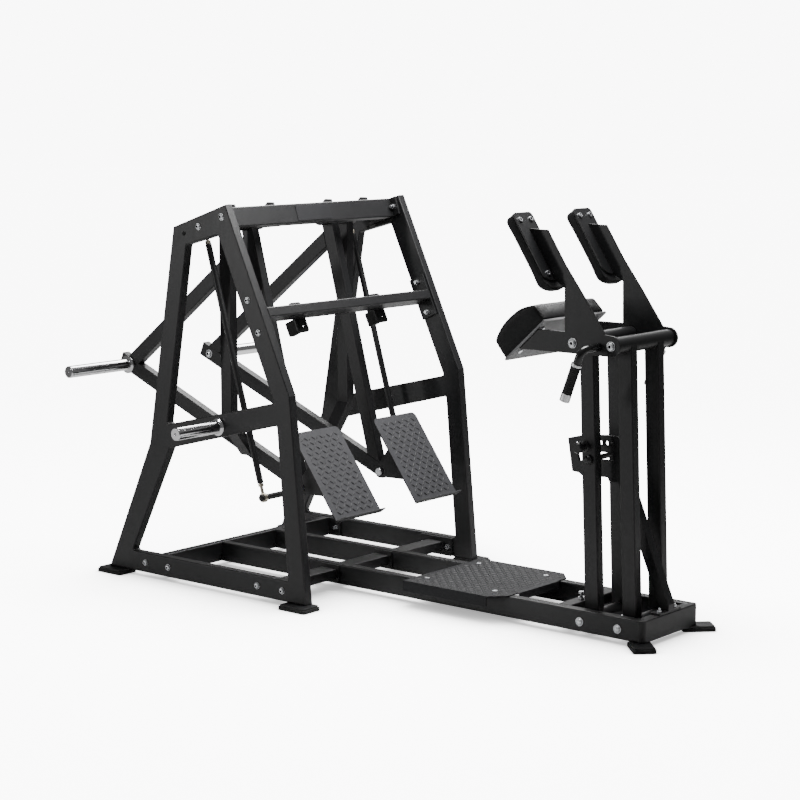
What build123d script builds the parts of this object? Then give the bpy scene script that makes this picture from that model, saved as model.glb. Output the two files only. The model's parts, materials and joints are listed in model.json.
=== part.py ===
from build123d import *
import os
from math import radians, sin, cos, atan2, degrees, hypot

os.makedirs("parts", exist_ok=True)

# ---------------------------------------------------------------------------
# Plate-loaded standing leg press (alternating leg drive).
# Frame: +X runs from the weight horns towards the pad tower, +Z is up,
# Y = 0 is the machine's centre plane.  Right side of the user is -Y.
# ---------------------------------------------------------------------------

# driving dimensions (mm)
X0 = -18.5                # shift that puts the origin under the middle of the footprint
FRAME_Y = 517.0            # centre plane of each side frame
TUBE = 40.0                # narrow side of the frame tubes
WIDE = 80.0                # wide side of the frame tubes
ARM_Y = 240.0              # centre plane of each swing arm
POST_Y = 352.0             # centre plane of each arm's outer post
LUG_Y = (173.0, 395.0)     # inner and outer pivot lug of each arm
LUG_T = 10.0
ROD_Y = 432.0              # centre plane of the parallelogram rods
PIVOT = (-564.0, 1440.0)   # arm pivot, in x and z
HINGE = (-262.0, 406.0)    # foot plate hinge on the arm
LINK = (-52.0, -21.0)      # offset of both rod ends from PIVOT and HINGE
HORN = (-1256.0, 817.0)    # weight horn on the arm
HORN_R = 25.0
HORN_END = 597.0           # outer end of the arm's horn in y
STORE = (-451.0, 664.0)    # storage horn on the side frame
STORE_LEN = 235.5
PIN_R = 15.0
RAIL_OUT = 184.0           # outer faces of the long base rails
RAIL_END = 1289.0          # rear face of the base end beam
TF = (1016.0, 57.0)        # lower front post pivot
TR = (1179.0, 57.0)        # lower rear post pivot
HF = (976.0, 1068.0)       # upper front post pivot
HR = (1139.0, 1068.0)      # upper rear post pivot
CHEEK_OUT = 191.0          # outer faces of the head's cheek plates
CHEEK_T = 10.0
FOOT_Z = 20.0              # height of the feet


def side(y):
    """Profile plane parallel to XZ at this y: local x = X, local y = Z."""
    return Plane(origin=(X0, y, 0), x_dir=(1, 0, 0), z_dir=(0, -1, 0))


def level(z):
    """Horizontal profile plane at this height."""
    return Plane(origin=(X0, 0, z), x_dir=(1, 0, 0), z_dir=(0, 0, 1))


def cross(x):
    """Profile plane parallel to YZ at this x: local x = Y, local y = Z."""
    return Plane(origin=(X0 + x, 0, 0), x_dir=(0, 1, 0), z_dir=(1, 0, 0))


def offset_line(a, b, w):
    """Four corners of a bar of width w along the line a-b."""
    dx, dz = b[0] - a[0], b[1] - a[1]
    n = hypot(dx, dz)
    ox, oz = -dz / n * w / 2, dx / n * w / 2
    return [(a[0] + ox, a[1] + oz), (b[0] + ox, b[1] + oz),
            (b[0] - ox, b[1] - oz), (a[0] - ox, a[1] - oz)]


def toward(a, b, d):
    """The point d along the line from a to b."""
    n = hypot(b[0] - a[0], b[1] - a[1])
    return (a[0] + (b[0] - a[0]) * d / n, a[1] + (b[1] - a[1]) * d / n)


def local(origin, angle, u, v):
    """A point at u along and v across a direction tilted by angle degrees."""
    c, s = cos(radians(angle)), sin(radians(angle))
    return (origin[0] + u * c - v * s, origin[1] + u * s + v * c)


def bolt_profile(r, length, head_r, head_h, washer_r, washer_t):
    """Half section of a domed button head bolt; head at y > 0, shank at y < 0."""
    return [(0, -length), (r, -length), (r, 0), (washer_r, 0), (washer_r, washer_t),
            (head_r, washer_t), (head_r * 0.97, washer_t + head_h * 0.45),
            (head_r * 0.72, washer_t + head_h * 0.9), (head_r * 0.45, washer_t + head_h),
            (head_r * 0.45, washer_t + head_h * 0.35), (0, washer_t + head_h * 0.35)]


def write(part, name):
    part.label = name
    export_step(part, f"parts/{name}.step")
    box = part.bounding_box()
    print(f"{name:28s} solids {len(part.solids()):3d}  "
          f"x {box.min.X:8.1f} {box.max.X:8.1f}  y {box.min.Y:7.1f} {box.max.Y:7.1f}  z {box.min.Z:7.1f} {box.max.Z:7.1f}")


# ---------------------------------------------------------------------------
# Side frames: welded 80 x 40 tube, two windows split by a sloping mid bar
# ---------------------------------------------------------------------------
OUTLINE = [(-1093.6, FOOT_Z), (-842.6, 559.8), (-688.6, 1432.9), (-403.6, 1528.6), (-76.7, 817.0), (0.0, FOOT_Z)]
WINDOW_UP = [(-742.9, 644.0), (-618.5, 1365.0), (-445.6, 1411.0), (-156.8, 785.0)]
WINDOW_LOW = [(-956.7, 102.0), (-730.6, 550.0), (-144.4, 699.0), (-92.0, 102.0)]
TOP_MID = (-485.0, 1460.0)     # middle of the top bar's two bolts
TOP_TILT = degrees(atan2(1528.6 - 1432.9, -403.6 + 688.6))
MID_C = (-262.0, 1108.0)       # middle of the mid beam's two bolts
MID_TILT = degrees(atan2(0.4175, 0.9087))      # its depth direction, square to the front leg
TOP_BOLTS = [local(TOP_MID, TOP_TILT, u, 0) for u in (-66.5, 66.5)]
MID_BOLTS = [local(MID_C, MID_TILT, 0, v) for v in (-66.5, 66.5)]
BASE_BOLTS = [(-879.8, 61.0), (-748.4, 61.0), (-253.9, 61.0), (-122.3, 61.0)]
FRAME_BOLTS = TOP_BOLTS + MID_BOLTS + BASE_BOLTS
BOLT_R = 6.0

for name, s in (("right_side_frame", -1), ("left_side_frame", 1)):
    with BuildPart() as side_frame:
        with BuildSketch(side(s * FRAME_Y)) as profile:
            with BuildLine():
                Polyline(*OUTLINE, close=True)
            make_face()
            for window in (WINDOW_UP, WINDOW_LOW):
                with BuildLine():
                    Polyline(*window, close=True)
                make_face(mode=Mode.SUBTRACT)
            fillet([v for w in profile.faces()[0].inner_wires() for v in w.vertices()], 9)
        extrude(amount=TUBE / 2, both=True)
        fillet(side_frame.faces().sort_by(Axis.Y)[-1].edges(), 5)
        fillet(side_frame.faces().sort_by(Axis.Y)[0].edges(), 5)
        with BuildSketch(side(s * FRAME_Y)):
            with Locations(*FRAME_BOLTS):
                Circle(BOLT_R + 0.3)
            with Locations(STORE):
                Circle(8.3)
        extrude(amount=TUBE, both=True, mode=Mode.SUBTRACT)
    write(side_frame.part, name)

# bolts through the side frames, with a domed head outside and a nut inside
with BuildPart() as frame_bolts:
    for s in (-1, 1):
        for bx, bz in FRAME_BOLTS:
            y = s * (FRAME_Y + TUBE / 2)
            with BuildSketch(Plane(origin=(X0 + bx, y, bz), x_dir=(1, 0, 0), z_dir=(0, 0, 1))):
                with BuildLine():
                    Polyline(*[(p, s * q) for p, q in bolt_profile(BOLT_R, 68, 10.5, 7, 13, 2)], close=True)
                make_face()
            revolve(axis=Axis((X0 + bx, y, bz), (0, 1, 0)))

with BuildPart() as frame_nuts:
    for s in (-1, 1):
        y = s * (FRAME_Y - TUBE / 2 - 10)
        with BuildSketch(side(y)):
            with Locations(*FRAME_BOLTS):
                RegularPolygon(10.8, 6)
                Circle(BOLT_R, mode=Mode.SUBTRACT)
        extrude(amount=s * 10)

# chromed storage horns, each held by a bolt from inside its side frame
with BuildPart() as storage_horns:
    for s in (-1, 1):
        y = s * (FRAME_Y + TUBE / 2)
        half = [(0, 0), (34, 0), (34, 8), (HORN_R, 10), (HORN_R, STORE_LEN - 3), (HORN_R - 3, STORE_LEN),
                (5, STORE_LEN), (4, STORE_LEN - 8), (0, STORE_LEN - 8)]
        with BuildSketch(Plane(origin=(X0 + STORE[0], y, STORE[1]), x_dir=(1, 0, 0), z_dir=(0, 0, 1))):
            with BuildLine():
                Polyline(*[(p, s * q) for p, q in half], close=True)
            make_face()
        revolve(axis=Axis((X0 + STORE[0], y, STORE[1]), (0, 1, 0)))
write(storage_horns.part, "storage_horns")

with BuildPart() as storage_horn_bolts:
    for s in (-1, 1):
        y = s * (FRAME_Y - TUBE / 2)
        with BuildSketch(Plane(origin=(X0 + STORE[0], y, STORE[1]), x_dir=(1, 0, 0), z_dir=(0, 0, 1))):
            with BuildLine():
                Polyline(*[(p, -s * q) for p, q in bolt_profile(8, TUBE, 13, 8, 17, 3)], close=True)
            make_face()
        revolve(axis=Axis((X0 + STORE[0], y, STORE[1]), (0, 1, 0)))
with BuildPart() as frame_fasteners:
    add([frame_bolts.part, frame_nuts.part, storage_horn_bolts.part])
write(frame_fasteners.part, "frame_fasteners")

# ---------------------------------------------------------------------------
# Cross members of the side frames
# ---------------------------------------------------------------------------
BEAM_Y = FRAME_Y - TUBE / 2 - 10       # inner face of each end plate

with BuildPart() as top_beam:
    with BuildSketch(side(0)):
        with BuildLine():
            Polyline(*[local(TOP_MID, TOP_TILT, u, v) for u, v in ((14, -40), (54, -40), (54, 40), (14, 40))], close=True)
        make_face()
    extrude(amount=BEAM_Y, both=True)
    fillet(top_beam.edges().filter_by(Axis.Y), 5)
    for s in (-1, 1):
        with BuildSketch(side(s * (BEAM_Y + 5))):
            with BuildLine():
                Polyline(*[local(TOP_MID, TOP_TILT, u, v) for u, v in ((-88, -38), (88, -38), (88, 38), (-88, 38))], close=True)
            make_face()
            with Locations(*TOP_BOLTS):
                Circle(BOLT_R + 0.3, mode=Mode.SUBTRACT)
        extrude(amount=5, both=True)
write(top_beam.part, "top_beam")

with BuildPart() as badge_plate:
    with BuildSketch(side(0)):
        with BuildLine():
            Polyline(*[local(TOP_MID, TOP_TILT, u, v) for u, v in ((54, -32), (56, -32), (56, 32), (54, 32))], close=True)
        make_face()
    extrude(amount=100, both=True)
write(badge_plate.part, "badge_plate")

LUG_TOP = [local(TOP_MID, TOP_TILT, 14, -40), local(TOP_MID, TOP_TILT, 14, 40)]
ROD_TOP = (PIVOT[0] + LINK[0], PIVOT[1] + LINK[1])
ROD_LOW = (HINGE[0] + LINK[0], HINGE[1] + LINK[1])
with BuildPart() as pivot_lugs:
    for s in (-1, 1):
        for k, y in enumerate(LUG_Y):
            with BuildSketch(side(s * y)):
                with BuildLine():
                    Polyline(LUG_TOP[0], LUG_TOP[1], (-492, 1521), (-522, 1521), (-590, 1455), (-590, 1437), (-572, 1415), close=True)
                make_face()
                with Locations(PIVOT):
                    Circle(26)
                if k == 1:
                    with BuildLine():
                        Polyline((-573, 1470), (-625, 1439), (-628, 1401), (-566, 1412), close=True)
                    make_face()
                    with Locations(ROD_TOP):
                        Circle(22)
                        Circle(8.02, mode=Mode.SUBTRACT)
                with Locations(PIVOT):
                    Circle(PIN_R + 0.02, mode=Mode.SUBTRACT)
            extrude(amount=LUG_T / 2, both=True)
write(pivot_lugs.part, "pivot_lugs")

# headed pivot pins of the arms, with a retaining nut on the outer lug
with BuildPart() as arm_pivot_pins:
    for s in (-1, 1):
        half = [(0, 158), (18, 158), (20, 160), (20, 168), (PIN_R, 168), (PIN_R, 400), (20, 400), (20, 411), (17, 414), (0, 414)]
        with BuildSketch(Plane(origin=(X0 + PIVOT[0], 0, PIVOT[1]), x_dir=(1, 0, 0), z_dir=(0, 0, 1))):
            with BuildLine():
                Polyline(*[(p, s * q) for p, q in half], close=True)
            make_face()
        revolve(axis=Axis((X0 + PIVOT[0], 0, PIVOT[1]), (0, 1, 0)))
write(arm_pivot_pins.part, "arm_pivot_pins")

# studs that carry the upper rod ends, on the outer lugs
with BuildPart() as rod_upper_studs:
    for s in (-1, 1):
        half = [(0, 384), (13, 384), (13, 390), (8, 390), (8, 400), (12, 400), (12, ROD_Y - 7.5), (8, ROD_Y - 7.5),
                (8, ROD_Y + 7.5), (13, ROD_Y + 7.5), (13, ROD_Y + 15), (6, ROD_Y + 19), (0, ROD_Y + 19)]
        with BuildSketch(Plane(origin=(X0 + ROD_TOP[0], 0, ROD_TOP[1]), x_dir=(1, 0, 0), z_dir=(0, 0, 1))):
            with BuildLine():
                Polyline(*[(p, s * q) for p, q in half], close=True)
            make_face()
        revolve(axis=Axis((X0 + ROD_TOP[0], 0, ROD_TOP[1]), (0, 1, 0)))
write(rod_upper_studs.part, "rod_upper_studs")

with BuildPart() as mid_beam:
    with BuildSketch(side(0)):
        with BuildLine():
            Polyline(*[local(MID_C, MID_TILT, u, v) for u, v in ((-40, -20), (40, -20), (40, 20), (-40, 20))], close=True)
        make_face()
    extrude(amount=BEAM_Y, both=True)
    fillet(mid_beam.edges().filter_by(Axis.Y), 5)
    for s in (-1, 1):
        with BuildSketch(side(s * (BEAM_Y + 5))):
            with BuildLine():
                Polyline(*[local(MID_C, MID_TILT, u, v) for u, v in ((-38, -88), (38, -88), (38, 88), (-38, 88))], close=True)
            make_face()
            with Locations(*MID_BOLTS):
                Circle(BOLT_R + 0.3, mode=Mode.SUBTRACT)
        extrude(amount=5, both=True)
write(mid_beam.part, "mid_beam")

# bump stops behind the mid beam: a flat bracket and a rubber block
STOP_Y = 240.0
BRACKET_PLANE = Plane(origin=(X0 + local(MID_C, MID_TILT, -40, 0)[0], 0, local(MID_C, MID_TILT, -40, 0)[1]),
                      x_dir=(0, 1, 0), z_dir=(-cos(radians(MID_TILT)), 0, -sin(radians(MID_TILT))))
with BuildPart() as bump_stop_brackets:
    for s in (-1, 1):
        with BuildSketch(BRACKET_PLANE):
            with Locations((s * STOP_Y, 12)):
                RectangleRounded(64, 124, 12)
            with Locations((s * STOP_Y + 8, 50)):
                Circle(5.5, mode=Mode.SUBTRACT)
        extrude(amount=8)
write(bump_stop_brackets.part, "bump_stop_brackets")

with BuildPart() as bump_stop_rubbers:
    for s in (-1, 1):
        with BuildSketch(BRACKET_PLANE.offset(8)):
            with Locations((s * STOP_Y - 16, 44)):
                RectangleRounded(32, 58, 6)
        extrude(amount=50)
    fillet(bump_stop_rubbers.faces().group_by(Axis.X)[0].edges(), 4)
write(bump_stop_rubbers.part, "bump_stop_rubbers")

# ---------------------------------------------------------------------------
# Base: cross beams, long rails, end beam, adjuster member, feet
# ---------------------------------------------------------------------------
with BuildPart() as rear_base_beam:
    with BuildSketch(side(0)):
        with Locations((-814.1, 60)):
            Rectangle(TUBE, WIDE)
    extrude(amount=BEAM_Y, both=True)
    fillet(rear_base_beam.edges().filter_by(Axis.Y), 5)
    for s in (-1, 1):
        with BuildSketch(side(s * (BEAM_Y + 5))):
            with Locations((-814.1, 60)):
                RectangleRounded(170, 76, 4)
            with Locations(*BASE_BOLTS[:2]):
                Circle(BOLT_R + 0.3, mode=Mode.SUBTRACT)
        extrude(amount=5, both=True)
write(rear_base_beam.part, "rear_base_beam")

FB_X, FB_Z = -188.1, 61.0
RAIL_IN = RAIL_OUT - TUBE
with BuildPart() as front_base_beam:
    with BuildSketch(side(0)):
        with Locations((FB_X, FB_Z)):
            RectangleRounded(WIDE, TUBE, 5)
    extrude(amount=RAIL_IN - 6, both=True)
    for s in (-1, 1):
        with BuildSketch(side(s * (RAIL_OUT + 6))):
            with Locations((FB_X, FB_Z)):
                RectangleRounded(WIDE, TUBE, 5)
        extrude(amount=-s * (BEAM_Y - RAIL_OUT - 6))
        for y in (RAIL_IN - 3, RAIL_OUT + 3):
            with BuildSketch(side(s * y)):
                with Locations((FB_X, 60)):
                    RectangleRounded(96, 72, 4)
            extrude(amount=3, both=True)
        with BuildSketch(side(s * (BEAM_Y + 5))):
            with Locations((FB_X, 60)):
                RectangleRounded(170, 76, 4)
            with Locations(*BASE_BOLTS[2:]):
                Circle(BOLT_R + 0.3, mode=Mode.SUBTRACT)
        extrude(amount=5, both=True)
write(front_base_beam.part, "front_base_beam")

RAIL_START = -794.1
with BuildPart() as base_rails:
    for s in (-1, 1):
        with BuildSketch(level(FOOT_Z)):
            with BuildLine():
                Polyline((RAIL_START, s * RAIL_OUT), (RAIL_END - 22, s * RAIL_OUT), (RAIL_END - 22, s * RAIL_IN),
                         (RAIL_START, s * RAIL_IN), close=True)
            make_face()
        extrude(amount=WIDE)
    fillet(base_rails.edges().filter_by(Axis.X), 5)
    with BuildSketch(side(0)):
        with Locations(TF, TR):
            Circle(12.05)
    extrude(amount=300, both=True, mode=Mode.SUBTRACT)
write(base_rails.part, "base_rails")

with BuildPart() as base_end_beam:
    with BuildSketch(level(FOOT_Z)):
        with BuildLine():
            Polyline((RAIL_END - 22, -RAIL_OUT), (RAIL_END, -RAIL_OUT + 0.01), (RAIL_END, RAIL_OUT), (RAIL_END - 22, RAIL_OUT),
                     (RAIL_END - 22, RAIL_IN), (RAIL_END - TUBE, RAIL_IN), (RAIL_END - TUBE, -RAIL_IN), (RAIL_END - 22, -RAIL_IN), close=True)
        make_face()
    extrude(amount=WIDE)
    fillet(base_end_beam.edges().filter_by(Axis.Z).group_by(Axis.X)[-1], 20)
    fillet(base_end_beam.faces().sort_by(Axis.Z)[-1].edges().group_by(Axis.X)[-1], 4)
    with BuildSketch(level(FOOT_Z + WIDE)):
        with Locations((RAIL_END - 20, -50), (RAIL_END - 20, 50)):
            Circle(5.1)
    extrude(amount=-WIDE, mode=Mode.SUBTRACT)
write(base_end_beam.part, "base_end_beam")

MEM_X = 922.0
with BuildPart() as base_cross_member:
    with BuildSketch(side(0)):
        with Locations((MEM_X, 80)):
            RectangleRounded(56, TUBE, 5)
    extrude(amount=RAIL_IN, both=True)
write(base_cross_member.part, "base_cross_member")

# adjustable stop bolt of the tower, with its lock nut, standing on the cross member
with BuildPart() as stop_bolt:
    with BuildSketch(level(100)):
        with Locations((MEM_X + 3, -42)):
            RegularPolygon(13, 6)
    extrude(amount=9)
    with BuildSketch(level(109)):
        with Locations((MEM_X + 3, -42)):
            Circle(6)
    extrude(amount=12)
    with BuildSketch(level(121)):
        with Locations((MEM_X + 3, -42)):
            RegularPolygon(11, 6)
    extrude(amount=8)

# feet: steel pads over rubber pads under the four leg ends and the two tower corners
LEG_FEET = [(-1052, s * 537, 0) for s in (-1, 1)] + [(-35, s * 537, 0) for s in (-1, 1)]
with BuildPart() as foot_rubbers:
    with BuildSketch(level(0)):
        with Locations(*[(x, y) for x, y, a in LEG_FEET]):
            RectangleRounded(136, 96, 10)
        for s in (-1, 1):
            with Locations(Location((RAIL_END - 4, s * (RAIL_OUT + 2), 0), (0, 0, s * 45))):
                RectangleRounded(124, 84, 10)
    extrude(amount=13)
write(foot_rubbers.part, "foot_rubbers")
with BuildPart() as foot_plates:
    with BuildSketch(level(13)):
        with Locations(*[(x, y) for x, y, a in LEG_FEET]):
            RectangleRounded(126, 86, 8)
        for s in (-1, 1):
            with Locations(Location((RAIL_END - 4, s * (RAIL_OUT + 2), 0), (0, 0, s * 45))):
                RectangleRounded(114, 74, 8)
    extrude(amount=7)
write(foot_plates.part, "foot_plates")

# standing plate with its folded side flanges
SP = (238.0, 706.0)
SP_Y = 246.0
with BuildPart() as standing_plate:
    with BuildSketch(level(100)):
        with BuildLine():
            Polyline((SP[0], -SP_Y), (644, -SP_Y), (SP[1] - 8, -186), (SP[1] - 8, -130), (SP[1], -130),
                     (SP[1], 130), (SP[1] - 8, 130), (SP[1] - 8, 186), (644, SP_Y), (SP[0], SP_Y), close=True)
        make_face()
        with Locations(*[(x, s * 164) for x in (292, 617) for s in (-1, 1)]):
            Circle(5.1, mode=Mode.SUBTRACT)
    extrude(amount=4)
    for s in (-1, 1):
        with BuildSketch(level(100)):
            with BuildLine():
                Polyline((SP[0], s * SP_Y), (638, s * SP_Y), (638, s * (SP_Y - 4)), (SP[0], s * (SP_Y - 4)), close=True)
            make_face()
        extrude(amount=-36)
    with BuildSketch(level(100)):
        with Locations((SP[1] - 2, 0)):
            Rectangle(4, 254)
    extrude(amount=-24)
write(standing_plate.part, "standing_plate")

with BuildPart() as standing_plate_bolts:
    for x in (292, 617):
        for s in (-1, 1):
            with BuildSketch(level(104)):
                with Locations((x, s * 164)):
                    Circle(10)
            extrude(amount=3.5)

# ---------------------------------------------------------------------------
# Swing arms: a front post, rear brace and lower bar in one plane, an outer post
# that runs down and inwards, and a pivot tube across the top
# ---------------------------------------------------------------------------
BAR_W = 60.0
BAR_DIR = degrees(atan2(HORN[1] - HINGE[1], HORN[0] - HINGE[0]))
BAR_REAR = local(HORN, BAR_DIR, 54, 0)
POST_LOW = (-293.0, 406.0)
KNEE = (-545.0, 1372.0)            # where the rear brace's centre line meets the front post's


def arm_plane(s):
    return side(s * ARM_Y)


for tag, s in (("right", -1), ("left", 1)):
    with BuildPart() as pivot_tube:
        with BuildSketch(side(s * (LUG_Y[0] + LUG_T / 2 + 1.5))):
            with Locations(PIVOT):
                Circle(30)
                Circle(PIN_R + 0.05, mode=Mode.SUBTRACT)
        extrude(amount=-s * (LUG_Y[1] - LUG_Y[0] - LUG_T - 3))
    write(pivot_tube.part, f"{tag}_arm_pivot_tube")

    with BuildPart() as lower_bar:
        with BuildSketch(arm_plane(s)):
            with BuildLine():
                Polyline(*offset_line(HINGE, BAR_REAR, BAR_W), close=True)
            make_face()
            with Locations(HINGE):
                Circle(BAR_W / 2)
        extrude(amount=TUBE / 2, both=True)
        fillet(lower_bar.faces().sort_by(Axis.Y)[-1].edges(), 4)
        fillet(lower_bar.faces().sort_by(Axis.Y)[0].edges(), 4)
        with BuildSketch(arm_plane(s)):
            with Locations(HINGE):
                Circle(10.05)
            with Locations(HORN):
                Circle(8.05)
        extrude(amount=TUBE, both=True, mode=Mode.SUBTRACT)
    write(lower_bar.part, f"{tag}_arm_lower_bar")

    with BuildPart() as front_post:
        with BuildSketch(arm_plane(s)):
            with BuildLine():
                Polyline(*offset_line(toward(PIVOT, POST_LOW, 16), POST_LOW, BAR_W), close=True)
            make_face()
        extrude(amount=TUBE / 2, both=True)
        fillet(front_post.faces().sort_by(Axis.Y)[-1].edges(), 4)
        fillet(front_post.faces().sort_by(Axis.Y)[0].edges(), 4)
        with BuildSketch(arm_plane(s)):
            with Locations(PIVOT):
                Circle(30)
            with BuildLine():
                Polyline(*offset_line(local(HINGE, BAR_DIR, -200, 0), BAR_REAR, BAR_W), close=True)
            make_face()
        extrude(amount=TUBE, both=True, mode=Mode.SUBTRACT)
    front_keep = sorted(front_post.part.solids(), key=lambda q: q.volume)[-1]
    with BuildPart() as front_post_main:
        add(front_keep)
    write(front_post_main.part, f"{tag}_arm_front_post")

    with BuildPart() as rear_brace:
        with BuildSketch(arm_plane(s)):
            with BuildLine():
                Polyline(*offset_line(KNEE, HORN, BAR_W), close=True)
            make_face()
        extrude(amount=TUBE / 2, both=True)
        fillet(rear_brace.faces().sort_by(Axis.Y)[-1].edges(), 4)
        fillet(rear_brace.faces().sort_by(Axis.Y)[0].edges(), 4)
        with BuildSketch(arm_plane(s)):
            with Locations(PIVOT):
                Circle(30)
            with BuildLine():
                Polyline(*offset_line(HINGE, local(BAR_REAR, BAR_DIR, 300, 0), BAR_W), close=True)
            make_face()
            with BuildLine():
                Polyline(*offset_line(toward(PIVOT, POST_LOW, -40), POST_LOW, BAR_W), close=True)
            make_face()
        extrude(amount=TUBE, both=True, mode=Mode.SUBTRACT)
    brace_keep = sorted(rear_brace.part.solids(), key=lambda q: q.volume)[-1]
    with BuildPart() as rear_brace_main:
        add(brace_keep)
    write(rear_brace_main.part, f"{tag}_arm_rear_brace")

    with BuildPart() as outer_post:
        with BuildSketch(cross(-573)):
            with BuildLine():
                Polyline(*[(s * y, z) for y, z in ((332, 1440), (372, 1440), (372, 640), (260, 502), (260, 558), (332, 656))], close=True)
            make_face()
        extrude(amount=BAR_W / 2, both=True)
        with BuildSketch(side(s * POST_Y)):
            with Locations(PIVOT):
                Circle(30)
        extrude(amount=60, both=True, mode=Mode.SUBTRACT)
    post_keep = sorted(outer_post.part.solids(), key=lambda q: q.volume)[-1]
    with BuildPart() as outer_post_main:
        add(post_keep)
        fillet(outer_post_main.edges().filter_by(Axis.Z), 4)
    write(outer_post_main.part, f"{tag}_arm_outer_post")

    y_out = s * (ARM_Y + TUBE / 2)
    horn_len = HORN_END - ARM_Y - TUBE / 2
    with BuildPart() as arm_horn:
        half = [(0, 0), (38, 0), (38, 10), (HORN_R, 12), (HORN_R, horn_len - 3), (HORN_R - 3, horn_len),
                (5, horn_len), (4, horn_len - 8), (0, horn_len - 8)]
        with BuildSketch(Plane(origin=(X0 + HORN[0], y_out, HORN[1]), x_dir=(1, 0, 0), z_dir=(0, 0, 1))):
            with BuildLine():
                Polyline(*[(p, s * q) for p, q in half], close=True)
            make_face()
        revolve(axis=Axis((X0 + HORN[0], y_out, HORN[1]), (0, 1, 0)))
    write(arm_horn.part, f"{tag}_arm_horn")

    # horn bolt and the foot hinge pin, both held in the arm
    with BuildPart() as arm_fasteners:
        y_in = s * (ARM_Y - TUBE / 2)
        with BuildSketch(Plane(origin=(X0 + HORN[0], y_in, HORN[1]), x_dir=(1, 0, 0), z_dir=(0, 0, 1))):
            with BuildLine():
                Polyline(*[(p, -s * q) for p, q in bolt_profile(8, TUBE, 13, 8, 18, 3)], close=True)
            make_face()
        revolve(axis=Axis((X0 + HORN[0], y_in, HORN[1]), (0, 1, 0)))
        half = [(0, 198), (14, 198), (16, 201), (16, 208.5), (10, 208.5), (10, 272.5), (16, 272.5), (16, 281), (14, 283), (0, 283)]
        with BuildSketch(Plane(origin=(X0 + HINGE[0], 0, HINGE[1]), x_dir=(1, 0, 0), z_dir=(0, 0, 1))):
            with BuildLine():
                Polyline(*[(p, s * q) for p, q in half], close=True)
            make_face()
        revolve(axis=Axis((X0 + HINGE[0], 0, HINGE[1]), (0, 1, 0)))
    write(arm_fasteners.part, f"{tag}_arm_fasteners")

# ---------------------------------------------------------------------------
# Foot plates: a tread plate with a rolled lower edge on two gussets
# ---------------------------------------------------------------------------
FOOT_TOP = (-214.0, 641.0)
FOOT_LOW = (16.0, 322.0)
FOOT_W = 266.0
FOOT_LEN = hypot(FOOT_LOW[0] - FOOT_TOP[0], FOOT_LOW[1] - FOOT_TOP[1])
FOOT_DIR = degrees(atan2(FOOT_LOW[1] - FOOT_TOP[1], FOOT_LOW[0] - FOOT_TOP[0]))
FOOT_MID = ((FOOT_TOP[0] + FOOT_LOW[0]) / 2, (FOOT_TOP[1] + FOOT_LOW[1]) / 2)
PLATE_T = 5.0
TOE_H = 26.0
TOE_SIDE = 1


def foot_pt(u, v):
    """u down the plate from its middle, v behind its front face."""
    return local(FOOT_MID, FOOT_DIR, u, -v)


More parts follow.
